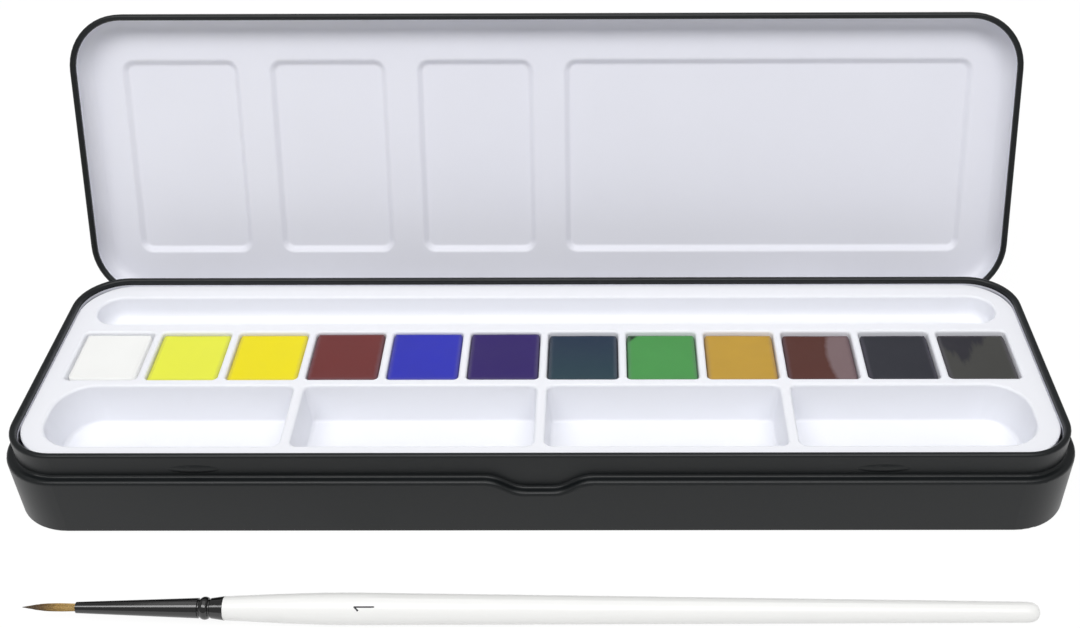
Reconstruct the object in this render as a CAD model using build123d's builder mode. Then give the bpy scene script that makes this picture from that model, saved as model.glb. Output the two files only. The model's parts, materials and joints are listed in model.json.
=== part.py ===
# Watercolour paint set in a slim hinged tin, with a round brush lying in front of it.
# The tin is drawn from sheet: a base with a stepped neck and a curled rim, and a lid with a
# curled hem and four mixing wells pressed into its panel. A moulded tray stands in the base
# and holds twelve cakes of paint.
# Millimetres. The origin is the centre of the tin's underside, X runs along the tin, Y to the
# hinge and Z up. The lid stands open on its stop, as in use.
import os
from math import atan2, cos, degrees, hypot, pi, radians, sin, sqrt, tan

from build123d import *

os.makedirs("parts", exist_ok=True)

# Tin body, measured outside
tin_length = 213.5
tin_width = 64.4
tin_corner = 12.3
sheet = 0.3
base_edge = 0.5
shoulder_z = 13.3
shoulder_edge = 0.8
neck_step = 1.9
neck_root = 0.5

# Curled rim round the base's mouth
rim_z = 18.6
rim_curl = 1.36
rim_curl_height = 1.9
rim_edge = 0.6

# Thumb dip in the front of the shoulder, and the two catch bumps on the neck
dip_width = 21.6
dip_floor = 4.7
dip_depth = 2.9
bump_spacing = 133.6
bump_length = 10.2
bump_radius = 1.7
bump_rise = 0.35
bump_z = 15.3

# Lid
lid_gap = 0.1
lid_depth = 6.2
lid_edge = 3.5
hem_curl = 1.3
hem_curl_height = 1.5
hem_edge = 0.6
open_angle = 111.6

# Mixing wells pressed into the lid's panel: three small ones and a long one
lid_small_wells = 3
lid_well_margin = 9.85
lid_well_gap = 7.0
lid_well_width = 26.6
lid_well_length = 44.3
lid_well_y = 0.15
lid_well_depth = 1.0
lid_well_corner = 2.8
lid_well_slope = 50.0
lid_well_round = 1.0

# Hinge: a wire at each of two stations, held by two curls of the base, carries a curled
# tongue of the lid
hinge_spacing = 120.0
hinge_z = 9.25
wire_diameter = 0.9
tongue_width = 24.0
tongue_play = 0.05
knuckle_width = 7.0
knuckle_gap = 0.3
curl_sweep = 285.0
curl_tail = 0.9
curl_window = 2.8
slot_depth = 0.65

# Tray
tray_top = 17.2
tray_gap = 0.1
tray_corner = 10.5
tray_wall = 0.9
tray_edge = 0.6
tray_rim_edge = 0.3
draft = 4.0
channel_length = 198.4
channel_width = 9.8
channel_depth = 5.3
channel_round = 2.2
channel_y = 19.3
pan_pitch = 16.72
pan_width = 15.1
pan_length = 16.3
pan_corner = 1.1
pan_depth = 9.2
pan_y = 3.25
mix_count = 4
mix_length = 198.2
mix_width = 18.6
mix_y = -16.3
mix_pitch = 50.0
mix_web = 2.1
mix_depth = 9.3
mix_end_corner = 7.5
mix_corner = 1.6
mix_round = 0.8

# Cakes of paint: the gap that each has shrunk to at its sides, and how far its face lies below
# the tray's top. The first six were poured fuller.
cake_corner = 0.9
cake_edge = 0.4
cake_fits = {
    "white": (0.5, 0.2),
    "lemon_yellow": (0.15, 0.25),
    "warm_yellow": (0.15, 0.25),
    "crimson": (0.2, 0.3),
    "ultramarine": (0.15, 0.3),
    "violet": (0.15, 0.3),
    "viridian": (0.2, 0.7),
    "sap_green": (0.2, 0.7),
    "yellow_ochre": (0.2, 0.75),
    "burnt_sienna": (0.25, 0.8),
    "indigo": (0.3, 0.8),
    "ivory_black": (0.25, 0.8),
}

# Brush, with stations measured from the tip of the hair
brush_tip_x = -95.1
brush_y = -55.1
hair_length = 10.1
hair_root_radius = 0.7
hair_belly = 1.16
hair_point = 0.2
hair_stagger = 0.6
hair_taper = 0.6
hair_count = 320
hair_width = 0.036
hair_root_depth = 1.0
hair_stations = (0, 0.35, 0.75, 1)
ferrule_wall = 0.22
ferrule_mouth_radius = 1.05
ferrule_length = 27.4
crimp_start = 22.6
crimp_radius = 1.9
crimp_groove = 0.25
crimp_width = 1.9
ferrule_end_radius = 2.25
tenon_length = 9.0
tenon_play = 0.05
handle_neck_radius = 2.2
handle_flare = 0.05
belly_station = 63.0
belly_radius = 2.99
butt_station = 186.0
butt_radius = 1.93
brush_length = 188.4

# Half the width within which a measured point counts as lying on a line
near = 0.01

hem_z = shoulder_z + lid_gap
lid_top = hem_z + lid_depth
panel_z = lid_top - sheet
wire_radius = wire_diameter / 2
hinge_y = tin_width / 2 + wire_radius
hinge_axis = Axis((0, hinge_y, hinge_z), (1, 0, 0))
hinge_stations = {"left": -hinge_spacing / 2, "right": hinge_spacing / 2}
rim_mouth = neck_step + rim_curl
tray_inset = rim_mouth + tray_gap
ferrule_start = hair_length
ferrule_end = ferrule_start + ferrule_length


def tin_plan(inset, mode=Mode.ADD):
    """Rounded rectangle that stands the given distance inside the tin's outline."""
    RectangleRounded(
        tin_length - 2 * inset, tin_width - 2 * inset, tin_corner - inset, mode=mode
    )


def inset_of(point):
    """Distance of a point inside the tin's outline."""
    over_x = abs(point.X) - (tin_length / 2 - tin_corner)
    over_y = abs(point.Y) - (tin_width / 2 - tin_corner)
    reach = hypot(max(over_x, 0), max(over_y, 0)) + min(max(over_x, over_y), 0)
    return tin_corner - reach


def ring_edges(form, inset, low, high):
    """Edges that run round the tin at one inset, between two heights."""
    return form.edges().filter_by(
        lambda edge: abs(inset_of(edge @ 0.5) - inset) < near
        and low - near < (edge @ 0.5).Z < high + near
    )


def base_form(inset):
    """Solid inside the base's outer skin (no inset) or its inner skin (inset by the sheet)."""
    ledge = shoulder_z - inset
    with BuildPart() as form:
        with BuildSketch(Plane.XY.offset(inset)):
            tin_plan(inset)
        extrude(amount=ledge - inset)
        fillet(form.edges().group_by(Axis.Z)[0], base_edge - inset)
        with BuildSketch(Plane.XY.offset(ledge)):
            tin_plan(neck_step + inset)
        extrude(amount=rim_z - shoulder_z)
        fillet(form.edges().group_by(Axis.Z)[-1], rim_edge - inset)
        with BuildSketch(Plane.XZ.offset(tin_width / 2 - neck_step - inset)):
            with BuildLine():
                fall = Spline(
                    (-dip_width / 2, ledge),
                    (-dip_floor / 2, ledge - dip_depth),
                    tangents=((1, 0), (1, 0)),
                )
                floor = Line(fall @ 1, (dip_floor / 2, ledge - dip_depth))
                rise = Spline(
                    floor @ 1, (dip_width / 2, ledge), tangents=((1, 0), (1, 0))
                )
                Line(rise @ 1, fall @ 0)
            make_face()
        extrude(amount=2 * neck_step, mode=Mode.SUBTRACT)
        fillet(ring_edges(form, inset, ledge - dip_depth, ledge), shoulder_edge - inset)
        root = neck_step + inset
        fillet(ring_edges(form, root, ledge - dip_depth, ledge), neck_root + inset)
        for side in (-1, 1):
            axis_y = -tin_width / 2 + neck_step + bump_radius - bump_rise
            centre = (side * bump_spacing / 2, axis_y, bump_z)
            radius = bump_radius - inset
            with BuildSketch(Plane(centre, x_dir=(1, 0, 0), z_dir=(0, 0, 1))):
                with BuildLine():
                    half = bump_length / 2
                    crown = ThreePointArc(
                        (-half, radius - bump_rise), (0, radius), (half, radius - bump_rise)
                    )
                    Polyline(crown @ 1, (half, 0), (-half, 0), crown @ 0)
                make_face()
            revolve(axis=Axis(centre, (1, 0, 0)))
    return form.part


def curl_section(start, tail_end, radius, sweep):
    """Section of a sheet that runs along the wall to the wire and curls round it."""
    with BuildSketch(Plane.YZ.offset(start)) as section:
        with BuildLine():
            Line((hinge_y - radius, tail_end), (hinge_y - radius, hinge_z))
            CenterArc((hinge_y, hinge_z), radius, 180, sweep)
        trace(line_width=sheet)
    return section.sketch


# Base: the drawn body, its rim curled inward, and at the rear the two curls of each hinge
# station with the slot between them for the lid's tongue
base_curl_radius = wire_radius + sheet / 2
slot_width = tongue_width + 2 * knuckle_gap
slot_bottom = hinge_z - wire_radius - sheet - knuckle_gap
with BuildPart() as base_tin:
    add(base_form(0))
    add(base_form(sheet), mode=Mode.SUBTRACT)
    with BuildSketch(Plane.XY.offset(rim_z - sheet)):
        tin_plan(rim_mouth - sheet)
    extrude(amount=sheet - rim_curl_height)
    with BuildSketch(Plane.XY.offset(rim_z)):
        tin_plan(rim_mouth)
    extrude(amount=-rim_curl_height, mode=Mode.SUBTRACT)
    fillet(ring_edges(base_tin, rim_mouth, rim_z, rim_z), rim_edge)
    for station in hinge_stations.values():
        with BuildSketch(Plane.XZ.offset(-tin_width / 2 - sheet)):
            with Locations((station, (slot_bottom + shoulder_z + sheet) / 2)):
                Rectangle(slot_width, shoulder_z + sheet - slot_bottom)
            with Locations((station, hinge_z + curl_window / 2)):
                Rectangle(slot_width + 2 * (knuckle_width + knuckle_gap), curl_window)
        extrude(amount=slot_depth + sheet, mode=Mode.SUBTRACT)
        for start in (-slot_width / 2 - knuckle_width, slot_width / 2):
            tail_end = hinge_z - curl_tail
            section = curl_section(station + start, tail_end, base_curl_radius, -curl_sweep)
            extrude(to_extrude=section, amount=knuckle_width)
base_tin.part.label = "base_tin"
export_step(base_tin.part, "parts/base_tin.step")

# Hinge wires, gripped by the base's curls
wire_length = slot_width + 2 * knuckle_width
for side, station in hinge_stations.items():
    with BuildPart() as hinge_wire:
        with BuildSketch(Plane.YZ.offset(station - wire_length / 2)):
            with Locations((hinge_y, hinge_z)):
                Circle(wire_radius)
        extrude(amount=wire_length)
    hinge_wire.part.label = f"hinge_wire_{side}"
    export_step(hinge_wire.part, f"parts/hinge_wire_{side}.step")


def lid_form(inset):
    """Solid inside the closed lid's outer skin, or inside its inner skin."""
    with BuildPart() as form:
        with BuildSketch(Plane.XY.offset(hem_z + inset)):
            tin_plan(inset)
        extrude(amount=lid_depth - 2 * inset)
        fillet(form.edges().group_by(Axis.Z)[-1], lid_edge - inset)
        fillet(form.edges().group_by(Axis.Z)[0], hem_edge - inset)
    return form.part


def lid_wells():
    """Centre and width of each well along the lid."""
    start = -tin_length / 2 + lid_well_margin
    wells = []
    for _ in range(lid_small_wells):
        wells.append((start + lid_well_width / 2, lid_well_width))
        start += lid_well_width + lid_well_gap
    end = tin_length / 2 - lid_well_margin
    wells.append(((start + end) / 2, end - start))
    return wells


def well_form(grow, depth):
    """Solids of the four wells, with sloping sides, above the panel's inner face."""
    with BuildPart() as form:
        with BuildSketch(Plane.XY.offset(panel_z)):
            for centre, width in lid_wells():
                with Locations((centre, lid_well_y)):
                    RectangleRounded(
                        width + 2 * grow, lid_well_length + 2 * grow, lid_well_corner + grow
                    )
        extrude(amount=depth, taper=lid_well_slope)
        fillet(form.edges().group_by(Axis.Z)[-1], lid_well_round + (sheet if grow else 0))
    return form.part


# Lid, made closed: the drawn shell, its hem curled inward, the pressed wells, and a tongue
# at each hinge station that reaches down through the base's slot and curls under the wire
lid_curl_radius = base_curl_radius + tongue_play
side_growth = sheet / cos(radians(lid_well_slope))
tongue_top = hem_z + hem_curl_height + 2 * sheet
with BuildPart() as lid_closed:
    add(lid_form(0))
    add(lid_form(sheet), mode=Mode.SUBTRACT)
    with BuildSketch(Plane.XY.offset(hem_z + sheet)):
        tin_plan(hem_curl - sheet)
    extrude(amount=hem_curl_height - sheet)
    with BuildSketch(Plane.XY.offset(hem_z)):
        tin_plan(hem_curl)
    extrude(amount=hem_curl_height, mode=Mode.SUBTRACT)
    fillet(ring_edges(lid_closed, hem_curl, hem_z, hem_z), hem_edge)
    add(well_form(side_growth, lid_well_depth + sheet))
    add(well_form(0, lid_well_depth), mode=Mode.SUBTRACT)
    inside_rows = lid_closed.edges().filter_by(
        lambda edge: abs((edge @ 0.5).Z - panel_z) < near and inset_of(edge @ 0.5) > lid_edge + near
    )
    fillet(inside_rows, lid_well_round)
    outside_rows = lid_closed.edges().filter_by(
        lambda edge: abs((edge @ 0.5).Z - lid_top) < near and inset_of(edge @ 0.5) > lid_edge + near
    )
    fillet(outside_rows, lid_well_round)
    for station in hinge_stations.values():
        with BuildSketch(Plane.XZ.offset(-tin_width / 2 - sheet)):
            with Locations((station, hem_z + hem_curl_height / 2)):
                Rectangle(tongue_width + 2 * knuckle_gap, hem_curl_height + 2 * sheet)
        extrude(amount=hem_curl + 2 * sheet, mode=Mode.SUBTRACT)
        start = station - tongue_width / 2
        section = curl_section(start, tongue_top, lid_curl_radius, curl_sweep)
        extrude(to_extrude=section, amount=tongue_width)

with BuildPart() as lid:
    add(lid_closed.part.rotate(hinge_axis, -open_angle))
lid.part.label = "lid"
export_step(lid.part, "parts/lid.step")

# Tray: a thin moulding that stands on the base's floor by its skirt. The brush channel is at
# the rear, the twelve paint wells are in the middle and four mixing wells are in front.
drafted = tan(radians(draft))


def tray_plan(inset, mode=Mode.ADD):
    """Outline of the tray, inset by the given distance."""
    RectangleRounded(
        tin_length - 2 * (tray_inset + inset),
        tin_width - 2 * (tray_inset + inset),
        tray_corner - inset,
        mode=mode,
    )


def mixing_plan(index, grow):
    """Outline of one mixing well, with large corners at the tray's ends."""
    with BuildSketch(Plane.XY.offset(tray_top)) as plan:
        left = (index - mix_count / 2) * mix_pitch + mix_web / 2
        right = left + mix_pitch - mix_web
        left = max(left, -mix_length / 2)
        right = min(right, mix_length / 2)
        with Locations(((left + right) / 2, mix_y)):
            Rectangle(right - left + 2 * grow, mix_width + 2 * grow)
        left_corner = mix_corner if index > 0 else mix_end_corner
        right_corner = mix_corner if index < mix_count - 1 else mix_end_corner
        fillet(plan.vertices().group_by(Axis.X)[0], left_corner + grow)
        fillet(plan.vertices().group_by(Axis.X)[-1], right_corner + grow)
    return plan.sketch


def hollow(plan, depth, floor_round):
    """Solid that fills a well of the tray down to its depth, with drafted sides."""
    with BuildPart() as form:
        extrude(to_extrude=plan, amount=-depth, taper=draft)
        if floor_round:
            fillet(form.edges().group_by(Axis.Z)[0], floor_round)
    return form.part


def channel_plan(grow):
    """Outline of the brush channel, with round ends."""
    with BuildSketch(Plane.XY.offset(tray_top)) as plan:
        with Locations((0, channel_y)):
            SlotOverall(channel_length + 2 * grow, channel_width + 2 * grow)
    return plan.sketch


def pan_plan(grow):
    """Outlines of the twelve paint wells."""
    with BuildSketch(Plane.XY.offset(tray_top)) as plan:
        with Locations((0, pan_y)):
            with GridLocations(pan_pitch, 0, len(cake_fits), 1):
                RectangleRounded(pan_width + 2 * grow, pan_length + 2 * grow, pan_corner + grow)
    return plan.sketch


with BuildPart() as palette_tray:
    with BuildSketch(Plane.XY.offset(sheet)):
        tray_plan(0)
    extrude(amount=tray_top - sheet)
    with BuildSketch(Plane.XY.offset(sheet)):
        tray_plan(tray_wall)
    extrude(amount=tray_top - tray_wall - sheet, mode=Mode.SUBTRACT)
    with BuildSketch(Plane.XY.offset(tray_top - pan_depth - tray_wall)):
        with Locations((0, pan_y)):
            row = (len(cake_fits) - 1) * pan_pitch + pan_width
            RectangleRounded(row + 2 * tray_wall, pan_length + 2 * tray_wall, pan_corner)
    extrude(amount=pan_depth)
    add(hollow(channel_plan(tray_wall), channel_depth + tray_wall, channel_round + tray_wall))
    for index in range(mix_count):
        add(
            hollow(
                mixing_plan(index, tray_wall), mix_depth + tray_wall, mix_round + tray_wall
            )
        )
    add(hollow(channel_plan(0), channel_depth, channel_round), mode=Mode.SUBTRACT)
    for index in range(mix_count):
        add(hollow(mixing_plan(index, 0), mix_depth, mix_round), mode=Mode.SUBTRACT)
    add(hollow(pan_plan(0), pan_depth, 0), mode=Mode.SUBTRACT)
    outline = tray_inset + tray_wall
    well_edges = palette_tray.edges().group_by(Axis.Z)[-1].filter_by(
        lambda edge: inset_of(edge @ 0.5) > outline
    )
    fillet(well_edges, tray_edge)
    outline_edges = palette_tray.edges().group_by(Axis.Z)[-1].filter_by(
        lambda edge: inset_of(edge @ 0.5) < outline
    )
    fillet(outline_edges, tray_rim_edge)
palette_tray.part.label = "palette_tray"
export_step(palette_tray.part, "parts/palette_tray.step")

# Cakes of paint, each standing on the floor of its well and shrunk a little from its walls
for index, (colour, (gap, recess)) in enumerate(cake_fits.items()):
    narrowing = 2 * (recess * drafted + gap)
    with BuildPart() as cake:
        with BuildSketch(Plane.XY.offset(tray_top - recess)):
            with Locations(((index - (len(cake_fits) - 1) / 2) * pan_pitch, pan_y)):
                RectangleRounded(pan_width - narrowing, pan_length - narrowing, cake_corner)
        extrude(amount=recess - pan_depth, taper=draft)
        fillet(cake.edges().group_by(Axis.Z)[-1], cake_edge)
    name = f"paint_{index + 1:02d}_{colour}"
    cake.part.label = name
    export_step(cake.part, f"parts/{name}.step")

# Brush: it lies on the straight taper of its handle, so its axis tilts by that taper
brush_tilt = atan2(belly_radius - butt_radius, butt_station - belly_station)
along = Vector(cos(brush_tilt), 0, -sin(brush_tilt))
across = Vector(sin(brush_tilt), 0, cos(brush_tilt))
belly_x = brush_tip_x + belly_station * cos(brush_tilt)
belly_centre = Vector(belly_x, brush_y, 0) + across * belly_radius
brush_tip = belly_centre - along * belly_station
brush_plane = Plane(brush_tip, x_dir=along, z_dir=(0, -1, 0))
brush_axis = Axis(brush_tip, along)

with BuildPart() as brush_ferrule:
    with BuildSketch(brush_plane):
        with BuildLine():
            first_groove = ferrule_start + crimp_start
            second_groove = first_groove + crimp_width
            front = Line(
                (ferrule_start, hair_root_radius), (ferrule_start, ferrule_mouth_radius)
            )
            cone = Line(front @ 1, (first_groove, crimp_radius))
            dent = ThreePointArc(
                cone @ 1,
                (first_groove + crimp_groove, crimp_radius - crimp_groove),
                (first_groove + 2 * crimp_groove, crimp_radius),
            )
            bead = ThreePointArc(
                dent @ 1,
                ((first_groove + second_groove) / 2 + crimp_groove, crimp_radius + crimp_groove),
                (second_groove, crimp_radius),
            )
            second_dent = ThreePointArc(
                bead @ 1,
                (second_groove + crimp_groove, crimp_radius - crimp_groove),
                (second_groove + 2 * crimp_groove, crimp_radius),
            )
            flare = Line(second_dent @ 1, (ferrule_end, ferrule_end_radius))
            end = Line(flare @ 1, (ferrule_end, ferrule_end_radius - ferrule_wall))
            bore_radius = crimp_radius - crimp_groove - ferrule_wall
            bore = Line(end @ 1, (second_groove + crimp_groove, bore_radius))
            grip = Line(bore @ 1, (first_groove + crimp_groove, bore_radius))
            throat = Line(grip @ 1, (ferrule_start + hair_root_depth, hair_root_radius))
            Line(throat @ 1, front @ 0)
        make_face()
    revolve(axis=brush_axis)
brush_ferrule.part.label = "brush_ferrule"
export_step(brush_ferrule.part, "parts/brush_ferrule.step")

with BuildPart() as brush_handle:
    with BuildSketch(brush_plane):
        with BuildLine():
            taper_slope = (belly_radius - butt_radius) / (butt_station - belly_station)
            crimp_middle = first_groove + crimp_groove
            throat_start = ferrule_start + hair_root_depth
            tenon_start = ferrule_end - tenon_length
            throat_share = (tenon_start - throat_start) / (crimp_middle - throat_start)
            throat_radius = hair_root_radius + throat_share * (bore_radius - hair_root_radius)
            tenon = Polyline(
                (tenon_start, 0),
                (tenon_start, throat_radius - tenon_play),
                (crimp_middle, bore_radius),
                (second_groove + crimp_groove, bore_radius),
                (ferrule_end, ferrule_end_radius - ferrule_wall - tenon_play),
                (ferrule_end, handle_neck_radius),
            )
            swell = Spline(
                tenon @ 1,
                (belly_station, belly_radius),
                tangents=((1, handle_flare), (1, -taper_slope)),
            )
            shaft = Line(swell @ 1, (butt_station, butt_radius))
            cap = Spline(
                shaft @ 1,
                (brush_length, 0),
                tangents=((1, -taper_slope), (0, -1)),
            )
            Line(cap @ 1, tenon @ 0)
        make_face()
    revolve(axis=brush_axis)
brush_handle.part.label = "brush_handle"
export_step(brush_handle.part, "parts/brush_handle.step")


def hair(ring_radius, angle):
    """One hair: it swells with the tuft, then runs in to the point and ends as it tapers."""
    reach = hair_length * (1 - hair_stagger * (ring_radius / hair_root_radius) ** 3)
    sections = []
    for share in hair_stations:
        run = share * reach
        travel = run / hair_length
        spread = 1 + 4 * (hair_belly - 1) * travel * (1 - travel) - (1 - hair_point) * travel**3
        centre = (
            ring_radius * spread * cos(angle),
            ring_radius * spread * sin(angle),
        )
        radius = hair_width * spread * (1 - hair_taper * share)
        with BuildSketch(hair_plane.offset(run)) as section:
            with Locations(centre):
                RegularPolygon(radius, 3, rotation=degrees(angle))
        sections.append(section.sketch.face())
    return Solid.make_loft([face.outer_wire() for face in sections], ruled=True)


# Hair: strands laid out on a sunflower spiral, rooted in a slice that fills the ferrule's mouth
hair_plane = Plane(brush_tip + along * ferrule_start, x_dir=across, z_dir=-along)
turn = pi * (3 - sqrt(5))
strands = [
    hair((hair_root_radius - hair_width) * sqrt((n + 0.5) / hair_count), n * turn)
    for n in range(hair_count)
]
with BuildPart() as brush_hair:
    with BuildSketch(hair_plane):
        Circle(hair_root_radius)
    extrude(amount=-hair_root_depth)
    add(strands)
brush_hair.part.label = "brush_hair"
export_step(brush_hair.part, "parts/brush_hair.step")
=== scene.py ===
# Watercolour paint set: a slim hinged tin that stands open, its tray of paints, and a brush.
import json
import math

import bmesh
import bpy
from mathutils import Matrix, Vector, noise


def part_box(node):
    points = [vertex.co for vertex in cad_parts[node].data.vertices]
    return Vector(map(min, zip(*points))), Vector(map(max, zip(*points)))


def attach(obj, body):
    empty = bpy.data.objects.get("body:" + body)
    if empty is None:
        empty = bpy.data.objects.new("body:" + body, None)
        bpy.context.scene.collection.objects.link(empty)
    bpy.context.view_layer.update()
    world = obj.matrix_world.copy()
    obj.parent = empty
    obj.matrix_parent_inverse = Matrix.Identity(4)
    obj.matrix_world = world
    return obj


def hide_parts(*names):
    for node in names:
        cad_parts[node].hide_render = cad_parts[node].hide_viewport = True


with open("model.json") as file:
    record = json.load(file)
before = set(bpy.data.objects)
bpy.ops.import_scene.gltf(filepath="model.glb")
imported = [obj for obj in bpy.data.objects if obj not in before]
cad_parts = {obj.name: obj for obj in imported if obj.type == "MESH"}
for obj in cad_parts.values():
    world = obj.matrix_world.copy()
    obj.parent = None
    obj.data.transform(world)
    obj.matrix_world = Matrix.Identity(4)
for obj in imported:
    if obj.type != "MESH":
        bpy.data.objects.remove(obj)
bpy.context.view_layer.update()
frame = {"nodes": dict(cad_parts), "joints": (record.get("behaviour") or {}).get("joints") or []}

# Camera: it looks down at the set from the front, as the photograph does. Its lens and shift are
# given in pixels of a frame 1080 wide and 628 high.
frame_width = 1080
frame_height = 628
focal_pixels = 1329.1
centre_pixel_x = 594.2
centre_pixel_y = 397.2
camera_place = Vector((0.01193, -0.21926, 0.19017))
camera_pitch = math.radians(39.706)
camera_yaw = math.radians(0.318)
camera_roll = math.radians(-0.289)
lens = bpy.data.cameras.new("camera")
lens.lens = focal_pixels / frame_width * lens.sensor_width
lens.shift_x = (frame_width / 2 - centre_pixel_x) / frame_width
lens.shift_y = (centre_pixel_y - frame_height / 2) / frame_width
lens.clip_start = 0.01
camera = bpy.data.objects.new("camera", lens)
camera.matrix_world = (
    Matrix.Translation(camera_place)
    @ Matrix.Rotation(camera_yaw, 4, "Z")
    @ Matrix.Rotation(math.pi / 2 - camera_pitch, 4, "X")
    @ Matrix.Rotation(camera_roll, 4, "Z")
)
bpy.context.scene.collection.objects.link(camera)
bpy.context.scene.camera = camera
bpy.context.scene.view_settings.view_transform = "Standard"


# Table and light: a matt white table in even surroundings, under a soft lamp overhead and a
# stronger one in front. Camera, glossy and transmission rays see the table as plain white.
class Socket:
    """The output of a shader node. Sums and products of sockets add Math nodes."""

    def __init__(self, finish, link):
        self.finish = finish
        self.link = link

    def maths(self, operation, *values):
        return self.finish.node("ShaderNodeMath", {"operation": operation}, dict(enumerate(values)))

    def __add__(self, other):
        return self.maths("ADD", self, other)

    def __sub__(self, other):
        return self.maths("SUBTRACT", self, other)

    def __rsub__(self, other):
        return self.maths("SUBTRACT", other, self)

    def __mul__(self, other):
        return self.maths("MULTIPLY", self, other)

    def __truediv__(self, other):
        return self.maths("DIVIDE", self, other)

    def absolute(self):
        return self.maths("ABSOLUTE", self)

    def at_least(self, other):
        return self.maths("MAXIMUM", self, other)

    def at_most(self, other):
        return self.maths("MINIMUM", self, other)

    def __lt__(self, other):
        return self.maths("LESS_THAN", self, other)

    def __gt__(self, other):
        return self.maths("GREATER_THAN", self, other)

    __radd__ = __add__
    __rmul__ = __mul__


class Finish:
    """A material, or the world, as it is mixed: a node tree and the shader that it ends in."""

    def __init__(self, owner, shader="ShaderNodeBsdfPrincipled", **constants):
        self.owner = owner
        owner.use_nodes = True
        self.tree = owner.node_tree
        self.tree.nodes.clear()
        self.shader = self.node(shader, {}, constants)
        kind = "ShaderNodeOutput" + ("World" if isinstance(owner, bpy.types.World) else "Material")
        self.output = self.node(kind, {}, {"Surface": self.shader}, output=None)

    def node(self, kind, settings=None, sockets=None, output=0):
        """Adds a node: its settings first, then the values or links of its inputs."""
        made = self.tree.nodes.new(kind)
        for name, setting in (settings or {}).items():
            if name == "stops":
                for place, colour in setting[1:-1]:
                    made.color_ramp.elements.new(place)
                for element, (place, colour) in zip(made.color_ramp.elements, setting):
                    element.position = place
                    element.color = (*colour, 1)
            else:
                setattr(made, name, setting)
        for name, value in (sockets or {}).items():
            socket = made.inputs[name.replace("_", " ") if isinstance(name, str) else name]
            if isinstance(value, Socket):
                self.tree.links.new(value.link, socket)
            elif isinstance(value, tuple) and len(value) == 3 and socket.type == "RGBA":
                socket.default_value = (*value, 1)
            else:
                socket.default_value = value
        if output is None:
            return made
        return Socket(self, made.outputs[output])

    def place(self):
        """Object coordinates, which are the frame's own in metres."""
        return self.node("ShaderNodeTexCoord", output="Object")

    def stretched(self, x=1, y=1):
        """Object coordinates, drawn out along each axis with a factor below 1."""
        return self.node("ShaderNodeMapping", {}, {"Vector": self.place(), "Scale": (x, y, 1)})

    def vector(self, operation, *values, output="Vector"):
        """Vector maths on its values."""
        values = dict(enumerate(values))
        return self.node("ShaderNodeVectorMath", {"operation": operation}, values, output)

    def part(self, vector, axis):
        """The number that a vector has along X, Y or Z."""
        return self.node("ShaderNodeSeparateXYZ", {}, {0: vector}, axis)

    def grain(self, scale, detail=3.0, place=None, **sockets):
        """Noise from 0 to 1 with so many features to the metre."""
        values = {"Vector": place or self.place(), "Scale": scale, "Detail": detail, **sockets}
        return self.node("ShaderNodeTexNoise", {}, values)

    def blend(self, share, first, second):
        """A colour between two."""
        colours = {0: share, 6: first, 7: second}
        return self.node("ShaderNodeMix", {"data_type": "RGBA"}, colours, output=2)

    def shades(self, share, colour, dark=1, light=1):
        """A colour that drifts between a darker and a lighter share of itself."""
        darker, lighter = (tuple(factor * part for part in colour) for factor in (dark, light))
        return self.blend(share, darker, lighter)

    def feed(self, name, source):
        """Links a value or colour to the shader."""
        self.tree.links.new(source.link, self.shader.link.node.inputs[name])

    def bump(self, height, distance):
        """Raises the surface by a height from 0 to 1, times a distance in metres."""
        raised = {"Height": height, "Distance": distance}
        self.feed("Normal", self.node("ShaderNodeBump", {}, raised))


def piece(name, mesh, body, finish, *nodes):
    """Makes the object of a finished mesh, which rides on a body and may replace nodes."""
    made = bpy.data.objects.new(name, mesh)
    bpy.context.scene.collection.objects.link(made)
    mesh.materials.append(finish.owner)
    if body:
        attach(made, body)
    if nodes:
        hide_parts(*nodes)
    return made


def meshed(name, shape):
    """Writes a bmesh to a mesh with smooth faces."""
    mesh = bpy.data.meshes.new(name)
    for face in shape.faces:
        face.smooth = True
    shape.to_mesh(mesh)
    shape.free()
    return mesh


table_size = 80.0
surroundings_level = 0.35
table_colour = (0.85, 0.85, 0.85)
table_glow = 0.9
glow_level = 1.045
table_finish = Finish(bpy.data.materials.new("table"), "ShaderNodeBsdfDiffuse", Color=table_colour)
glow = table_finish.node("ShaderNodeEmission", {}, {"Color": (1, 1, 1), "Strength": glow_level})
camera_ray = table_finish.node("ShaderNodeLightPath", output="Is Camera Ray")
glossy_ray = table_finish.node("ShaderNodeLightPath", output="Is Glossy Ray")
transmitted_ray = table_finish.node("ShaderNodeLightPath", output="Is Transmission Ray")
seen = camera_ray.at_least(glossy_ray).at_least(transmitted_ray) * table_glow
lit = table_finish.node("ShaderNodeMixShader", {}, {0: seen, 1: table_finish.shader, 2: glow})
table_finish.tree.links.new(lit.link, table_finish.output.inputs["Surface"])
shape = bmesh.new()
bmesh.ops.create_grid(shape, x_segments=1, y_segments=1, size=table_size / 2)
table = piece("table", meshed("table", shape), None, table_finish)

world = bpy.data.worlds.new("surroundings")
bpy.context.scene.world = world
Finish(world, "ShaderNodeBackground", Color=(1, 1, 1), Strength=surroundings_level)


def soft_box(name, width, depth, power, distance, elevation, turn):
    """A flat lamp that faces the set from a height and a side, turned from the front."""
    light = bpy.data.lights.new(name, "AREA")
    light.shape = "RECTANGLE"
    light.size = width
    light.size_y = depth
    light.energy = power
    lamp = bpy.data.objects.new(name, light)
    lean = Matrix.Rotation(math.radians(90 - elevation), 4, "X")
    swing = Matrix.Rotation(math.radians(turn), 4, "Z")
    lamp.matrix_world = swing @ lean @ Matrix.Translation((0, 0, distance))
    bpy.context.scene.collection.objects.link(lamp)


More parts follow.
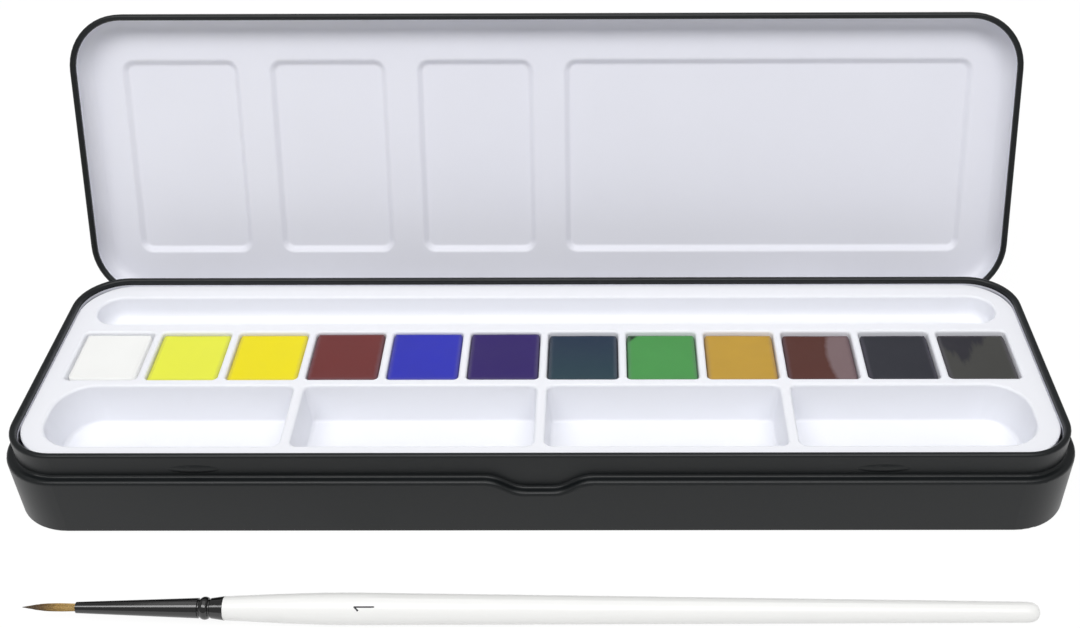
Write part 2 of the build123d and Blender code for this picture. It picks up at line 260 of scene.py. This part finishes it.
soft_box("overhead_box", width=0.8, depth=0.6, power=1.15, distance=0.8, elevation=95, turn=0)
soft_box("front_box", width=1.0, depth=0.3, power=4.6, distance=0.8, elevation=64, turn=-6)


# Tin: the base and the lid are drawn from tinplate that is lacquered black outside and enamelled
# white inside. Their rim and hem are curled inward, so that what shows of the curls is black.
tin_corner = 0.0123
rim_black_height = 0.0013
hem_black_height = 0.0010
hem_z = 0.0134
flat_panel_z = 0.007
hinge_wall_margin = 0.0002
black_lacquer = (0.0045, 0.0060, 0.0068)
white_enamel = (0.825, 0.832, 0.905)
base_low, base_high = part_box("base_tin")
tin_length = base_high.x - base_low.x
tin_width = -2 * base_low.y
hinge = next(joint for joint in frame["joints"] if joint["name"] == "lid_hinge")
hinge_place = Vector(hinge["pos_m"])
open_angle = math.radians(max(hinge["range_deg"]))


def enamel_mask(finish, place, facing, curl_low, curl_high, flat_low):
    """1 where a sheet's face looks into the tin, 0 outside and on the curl."""
    core = (tin_length / 2 - tin_corner, tin_width / 2 - tin_corner, 1)
    beyond = finish.vector("SUBTRACT", finish.vector("ABSOLUTE", place), core)
    beyond = finish.vector("MAXIMUM", beyond, (0, 0, 0))
    beyond = finish.vector("MULTIPLY", beyond, finish.vector("SIGN", place))
    outward = finish.vector("DOT_PRODUCT", beyond, facing, output="Value")
    height = finish.part(place, "Z")
    rise = finish.part(facing, "Z")
    up = (height < flat_low) * 2 - 1
    looks_in = (rise * up - outward / tin_corner) > 0
    beside_curl = 1 - (height > curl_low) * (height < curl_high)
    inside_wall = finish.part(place, "Y") < tin_width / 2 - hinge_wall_margin
    return looks_in * beside_curl * inside_wall


def tinplate(name, closed_angle, curl_low, curl_high, flat_low):
    """Tinplate, black outside and white inside, for a pressing that has turned by an angle."""
    finish = Finish(bpy.data.materials.new(name), IOR=1.42)
    place = finish.place()
    facing = finish.node("ShaderNodeTexCoord", output="Normal")
    if closed_angle:
        about = {"rotation_type": "X_AXIS"}
        turn = {"Vector": place, "Center": hinge_place, "Angle": closed_angle}
        place = finish.node("ShaderNodeVectorRotate", about, turn)
        turn = {"Vector": facing, "Angle": closed_angle}
        facing = finish.node("ShaderNodeVectorRotate", about, turn)
    enamel = enamel_mask(finish, place, facing, curl_low, curl_high, flat_low)
    mottle = finish.grain(scale=60, detail=4, place=place)
    fine = finish.grain(scale=1400, detail=2, place=place)
    black = finish.shades(mottle, black_lacquer, dark=0.85, light=1.2)
    white = finish.shades(mottle, white_enamel, dark=0.985, light=1.01)
    finish.feed("Base Color", finish.blend(enamel, black, white))
    finish.feed("Roughness", 0.36 + mottle * 0.08 - enamel * 0.06)
    finish.bump(fine * 0.6 + mottle * 2, distance=0.000006)
    return finish


def dress(node, finish):
    """Gives a kept node its material."""
    frame["nodes"][node].material_slots[0].material = finish.owner


below_all = -1
above_all = 1
base_curl = (base_high.z - rim_black_height, above_all)
lid_curl = (below_all, hem_z + hem_black_height)
dress("base_tin", tinplate("base_tinplate", 0, *base_curl, flat_panel_z))
dress("lid", tinplate("lid_tinplate", open_angle, *lid_curl, below_all))

# Hinge wires: two short wires of bright drawn steel, each gripped by two curls of the base. A
# curled tongue of the lid turns on each.
wire_steel = (0.56, 0.55, 0.53)
wire_finish = Finish(bpy.data.materials.new("drawn_steel"), Metallic=1.0)
drawing_lines = wire_finish.grain(scale=9000, detail=2, place=wire_finish.stretched(x=0.05))
wire_finish.feed("Base Color", wire_finish.shades(drawing_lines, wire_steel, dark=0.8))
wire_finish.feed("Roughness", 0.25 + drawing_lines * 0.2)
wire_finish.bump(drawing_lines, distance=0.000004)
for side in ("left", "right"):
    dress(f"hinge_wire_{side}", wire_finish)

# Tray: a thin injection moulding in white plastic, a little glossy, with the faint flow marks and
# fine spark texture of its mould.
tray_white = (0.875, 0.885, 0.93)
tray_finish = Finish(bpy.data.materials.new("tray_plastic"), IOR=1.47)
flow = tray_finish.grain(scale=30, detail=3, Distortion=0.6)
spark = tray_finish.grain(scale=2600, detail=1)
tray_finish.feed("Base Color", tray_finish.shades(flow, tray_white, dark=0.985))
tray_finish.feed("Roughness", 0.3 + flow * 0.12)
tray_finish.bump(spark * 0.4 + flow, distance=0.000005)
dress("palette_tray", tray_finish)

# Cakes of paint: poured into their wells wet, they dry to a satin skin that dishes a little and
# shrinks from the walls.
paint_corner = 0.0013
cake_cells = 28
skin_inset = 0.0004
skin_waviness = 0.00012
waves_per_metre = 130
wave_seed_step = 7.3
skin_dish = 0.00016
skin_edge_start = 0.95
skin_edge_drop = 0.0003
skin_drops = {"paint_02_lemon_yellow": 0.00035, "paint_03_warm_yellow": 0.00035}
cake_colours = {
    "paint_01_white": (0.9, 0.905, 0.885),
    "paint_02_lemon_yellow": (0.79, 0.82, 0.06),
    "paint_03_warm_yellow": (0.84, 0.72, 0.006),
    "paint_04_crimson": (0.15, 0.028, 0.026),
    "paint_05_ultramarine": (0.026, 0.03, 0.43),
    "paint_06_violet": (0.028, 0.012, 0.125),
    "paint_07_viridian": (0.018, 0.048, 0.063),
    "paint_08_sap_green": (0.065, 0.29, 0.07),
    "paint_09_yellow_ochre": (0.5, 0.3, 0.038),
    "paint_10_burnt_sienna": (0.085, 0.025, 0.017),
    "paint_11_indigo": (0.022, 0.023, 0.031),
    "paint_12_ivory_black": (0.052, 0.052, 0.048),
}
# Patches: painted reflections on the burnt sienna and ivory black, darker tints on two greens.
cake_marks = {
    "paint_07_viridian": {"darker_back": (0.012, 0.027, 0.058)},
    "paint_08_sap_green": {"darker_corner": (0.01, 0.02, 0.012)},
    "paint_10_burnt_sienna": {"painted_reflection": (0.185, 0.125, 0.130)},
    "paint_12_ivory_black": {"streak": (0.022, 0.021, 0.028)},
}
# Painted highlight and shade: a lilac-grey band on the cakes' edges, lighter on dark paints.
painted_edge_grey = (0.16, 0.145, 0.185)
painted_edge_share = 0.75
white_painted_edge_share = 0.15
white_from = 0.5
painted_edge_paint_share = 0.62
painted_edge_band = (0.86, 0.97)
cloud_spread = 0.08
bright_cloud_spread = 0.02
bright_from = 0.7
# Painted reflection on the burnt sienna: a lighter, greyer patch over its right side.
painted_reflection_edge = 0.18
painted_reflection_bow = 0.16
painted_reflection_lean = 0.04
painted_reflection_sharpness = 7
# Painted reflection on the ivory black: a darker streak down its left, wider towards the back.
dark_reflection_place = -0.42
dark_reflection_width = 0.30
dark_reflection_flare = 0.75
dark_reflection_slope = 1.1
dark_reflection_raggedness = 0.9
dark_reflection_sharpness = 4
# The sap green is darker at its far left corner.
darker_corner_reach = 1.62
darker_corner_sharpness = 14


def cake_shape(low, high, seed, drop):
    """A block with rounded upright corners, an eased top edge and a dished, uneven skin."""
    shape = bmesh.new()
    size = high - low
    middle = (low + high) / 2
    bmesh.ops.create_cube(shape, size=1)
    for vertex in shape.verts:
        vertex.co = Vector(vertex.co[i] * size[i] for i in range(3))
    upright = [e for e in shape.edges if abs((e.verts[0].co - e.verts[1].co).z) > size.z / 2]
    bmesh.ops.bevel(
        shape,
        geom=upright,
        offset=paint_corner,
        segments=6,
        profile=0.5,
        affect="EDGES",
        material=-1,
    )
    bmesh.ops.transform(shape, matrix=Matrix.Translation(middle), verts=shape.verts)
    top = [f for f in shape.faces if f.normal.z > 0.9]
    bmesh.ops.inset_region(shape, faces=top, thickness=skin_inset)
    for axis in range(2):
        direction = Vector((axis == 0, axis == 1, 0))
        for cut in range(1, cake_cells):
            place = low.copy()
            place[axis] += size[axis] * cut / cake_cells
            geometry = shape.verts[:] + shape.edges[:] + shape.faces[:]
            bmesh.ops.bisect_plane(shape, geom=geometry, plane_co=place, plane_no=direction)
    near = 1e-5
    for vertex in shape.verts:
        if vertex.co.z > high.z - near:
            offset = vertex.co - middle
            edge = 2 * max(abs(offset.x / size.x), abs(offset.y / size.y))
            dish = skin_dish * (1 - edge**4)
            spot = vertex.co * waves_per_metre
            wave = noise.noise(Vector((spot.x, spot.y, seed * wave_seed_step)))
            past = max(0, edge - skin_edge_start) / (1 - skin_edge_start)
            waviness = skin_waviness * (0.5 + 0.5 * wave)
            vertex.co.z -= drop + dish + waviness + skin_edge_drop * past
    return shape


def cake_finish(name, colour, low, high, marks):
    """Dried paint, clouded, with painted highlight and shade along its edges, and patches."""
    finish = Finish(bpy.data.materials.new(name), IOR=1.36)
    cloud = finish.grain(scale=160, detail=3)
    pigment = finish.grain(scale=5200, detail=2)
    middle = (low + high) / 2
    half = (high - low) / 2
    across = (finish.part(finish.place(), "X") - middle.x) / half.x
    along = (finish.part(finish.place(), "Y") - middle.y) / half.y
    spread = cloud_spread if max(colour) < bright_from else bright_cloud_spread
    paint = finish.shades(cloud, colour, dark=1 - spread, light=1 + spread)
    wobble = finish.grain(scale=700, detail=2) - 0.5
    for mark, tint in marks.items():
        # Painted reflection: lighter and greyer over the right of the cake.
        if mark == "painted_reflection":
            reach = across - painted_reflection_edge - along * along * painted_reflection_bow + along * painted_reflection_lean
            reach = (reach + wobble * 0.1) * painted_reflection_sharpness
        # Painted reflection: a darker streak, standing for a smooth stroke that reflects in the
        # skin.
        if mark == "streak":
            ridges = finish.grain(scale=900, detail=3, place=finish.stretched(y=0.16)) - 0.5
            aside = (across - dark_reflection_place).absolute()
            reach = dark_reflection_width + along * dark_reflection_flare - aside * dark_reflection_slope
            reach = (reach + ridges * dark_reflection_raggedness) * dark_reflection_sharpness
        # Darker at the far left corner.
        if mark == "darker_corner":
            reach = (along - across - darker_corner_reach + wobble * 0.2) * darker_corner_sharpness
        # Darker and bluer towards the back.
        if mark == "darker_back":
            reach = 0.5 + along * 0.5 + wobble * 0.3
        paint = finish.blend(reach.at_most(1).at_least(0), paint, tint)
    # Painted highlight and shade: the paint turns lilac-grey near its edges.
    edge = across.absolute().at_least(along.absolute() * 0.98) + wobble * 0.05
    painted_edge_stops = [(painted_edge_band[0], (0, 0, 0)), (painted_edge_band[1], (1, 1, 1))]
    painted_edge = finish.node("ShaderNodeValToRGB", {"stops": painted_edge_stops}, {0: edge})
    painted_edge_colour = Vector(colour).lerp(painted_edge_grey, 1 - painted_edge_paint_share)[:]
    painted_edge *= white_painted_edge_share if min(colour) > white_from else painted_edge_share
    paint = finish.blend(painted_edge, paint, painted_edge_colour)
    finish.feed("Base Color", paint)
    finish.feed("Roughness", 0.4 + cloud * 0.2)
    finish.bump(pigment * 0.5 + cloud, distance=0.00002)
    return finish


for index, (name, colour) in enumerate(cake_colours.items()):
    low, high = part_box(name)
    finish = cake_finish(name, colour, low, high, cake_marks.get(name, {}))
    shape = cake_shape(low, high, index, skin_drops.get(name, 0))
    cake = piece(name + "_cake", meshed(name, shape), "tin", finish, name)

# Brush handle: turned from wood, with a belly behind the ferrule and a slimmer butt, and coated
# with white gloss lacquer.
brush_tip_x = -0.0951
handle_white = (0.90, 0.90, 0.885)
handle_finish = Finish(bpy.data.materials.new("white_lacquer"), IOR=1.5, Coat_Weight=0.25)
wood = handle_finish.grain(scale=1500, detail=3, place=handle_finish.stretched(x=0.06))
handle_finish.feed("Base Color", handle_finish.shades(wood, handle_white, dark=0.97))
handle_finish.feed("Roughness", 0.34 + wood * 0.1)
handle_finish.bump(wood, distance=0.000008)
dress("brush_handle", handle_finish)

# Size numeral: a small figure one, printed in dark ink on the handle's belly with its head towards
# the hair. Its two strokes are laid on the lacquer with the thickness of a film of ink.
stroke_width = 0.00033
stem_offset = 0.00080
stem_length = 0.0038
flag_offset = 0.00045
flag_drop = 0.00045
flag_length = 0.0010
flag_lean = math.radians(-48)
numeral_station = 0.0657
numeral_low_angle = math.radians(40)
ink_thickness = 0.000012
ink_black = (0.02, 0.02, 0.025)
search_reach = 1.3
handle_low, handle_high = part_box("brush_handle")
handle_radius = (handle_high.z - handle_low.z) / 2
handle_axis_y = (handle_low.y + handle_high.y) / 2
handle = frame["nodes"]["brush_handle"]
strokes = [
    (stem_offset, stem_length / 2, stem_length, 0),
    (flag_offset, stem_length - flag_drop, flag_length, flag_lean),
]
shape = bmesh.new()
for middle_x, middle_y, length, lean in strokes:
    laid = Matrix.Translation((middle_x, middle_y, 0)) @ Matrix.Rotation(lean, 4, "Z")
    laid @= Matrix.Diagonal((stroke_width, length, 1, 1))
    bmesh.ops.create_grid(shape, x_segments=4, y_segments=12, size=0.5, matrix=laid)
for vertex in shape.verts:
    angle = numeral_low_angle + vertex.co.x / handle_radius
    outward = Vector((0, -math.cos(angle), math.sin(angle))) * handle_radius * search_reach
    station = brush_tip_x + numeral_station - vertex.co.y
    axis_place = Vector((station, handle_axis_y, handle_low.z + handle_radius))
    _, touch, normal, _ = handle.closest_point_on_mesh(axis_place + outward)
    vertex.co = touch + normal * ink_thickness / 2
bmesh.ops.solidify(shape, geom=shape.faces[:], thickness=ink_thickness)
bmesh.ops.recalc_face_normals(shape, faces=shape.faces)
ink_finish = Finish(bpy.data.materials.new("ink"), IOR=1.45)
smudge = ink_finish.grain(scale=4000, detail=2)
ink_finish.feed("Base Color", ink_finish.shades(smudge, ink_black, light=2))
ink_finish.feed("Roughness", 0.35 + smudge * 0.2)
ink_finish.bump(smudge, distance=0.000003)
piece("size_numeral", meshed("size_numeral", shape), "brush", ink_finish)

# Ferrule: a cone drawn from metal tube and lacquered gloss black. Its crimps hold it on the
# handle.
ferrule_black = (0.005, 0.005, 0.005)
ferrule_finish = Finish(bpy.data.materials.new("ferrule_lacquer"), IOR=1.7)
smear = ferrule_finish.grain(scale=700, detail=3)
ferrule_finish.feed("Base Color", ferrule_finish.shades(smear, ferrule_black, light=1.6))
ferrule_finish.feed("Roughness", 0.06 + smear * 0.08)
ferrule_finish.bump(smear, distance=0.000006)
dress("brush_ferrule", ferrule_finish)

# Hair: a tuft of fine hairs, glued into the ferrule. It swells a little, runs to a point, and goes
# from golden brown at the ferrule to dark at the tip.
hair_count = 900
hair_thickness = 0.000024
hair_points = 7
hair_taper = 0.6
hair_stagger = 0.5
stagger_seed_step = 0.37
root_overlap = 0.08
tuft_belly = 0.64
tuft_point = 0.8
tuft_fill = 0.97
belly_radius = 0.00299
butt_radius = 0.00193
belly_to_butt = 0.123
hair_low, hair_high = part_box("brush_hair")
ferrule_low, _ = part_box("brush_ferrule")
brush_tilt = math.atan2(belly_radius - butt_radius, belly_to_butt)
tuft_root = (hair_low + hair_high) / 2
tuft_root.x = ferrule_low.x
tuft_length = ferrule_low.x - hair_low.x
tuft_radius = 0.0007
along = Vector((-math.cos(brush_tilt), 0, math.sin(brush_tilt)))
across = Vector((math.sin(brush_tilt), 0, math.cos(brush_tilt)))
sideways = Vector((0, 1, 0))
golden_angle = math.pi * (3 - math.sqrt(5))
tuft = bpy.data.curves.new("brush_tuft", "CURVE")
tuft.dimensions = "3D"
tuft.bevel_depth = hair_thickness
tuft.bevel_resolution = 0
for index in range(hair_count):
    ring = math.sqrt((index + 0.5) / hair_count)
    angle = index * golden_angle
    uneven = 0.8 + 0.4 * noise.noise(Vector((index * stagger_seed_step, 0, 0)))
    reach = tuft_length * (1 - hair_stagger * ring**3 * uneven)
    strand = tuft.splines.new("POLY")
    strand.points.add(hair_points - 1)
    for step, point in enumerate(strand.points):
        travel = (1 + root_overlap) * step / (hair_points - 1) - root_overlap
        share = max(0, travel) * reach / tuft_length
        spread = 1 + tuft_belly * share * (1 - share) - tuft_point * share**3
        offset = tuft_radius * ring * spread * tuft_fill
        place = tuft_root + along * (travel * reach)
        place += (across * math.cos(angle) + sideways * math.sin(angle)) * offset
        point.co = (*place, 1)
        point.radius = 1 - hair_taper * max(0, travel)
hair_finish = Finish(bpy.data.materials.new("brush_hair"), IOR=1.5)
share = (hair_finish.part(hair_finish.place(), "X") - hair_low.x) / tuft_length
streak = hair_finish.grain(scale=3000, detail=2, place=hair_finish.stretched(x=0.08))
hair_stops = [
    (0, (0.059, 0.058, 0.055)),
    (0.35, (0.225, 0.137, 0.066)),
    (0.7, (0.56, 0.36, 0.115)),
    (1, (0.52, 0.35, 0.125)),
]
shifted = share + (streak - 0.5) * 0.5
hair_colour = hair_finish.node("ShaderNodeValToRGB", {"stops": hair_stops}, {0: shifted})
hair_finish.feed("Base Color", hair_colour)
hair_finish.feed("Roughness", 0.4 + streak * 0.2)
hair = bpy.data.objects.new("brush_tuft", tuft)
bpy.context.scene.collection.objects.link(hair)
tuft.materials.append(hair_finish.owner)
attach(hair, "brush")
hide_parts("brush_hair")
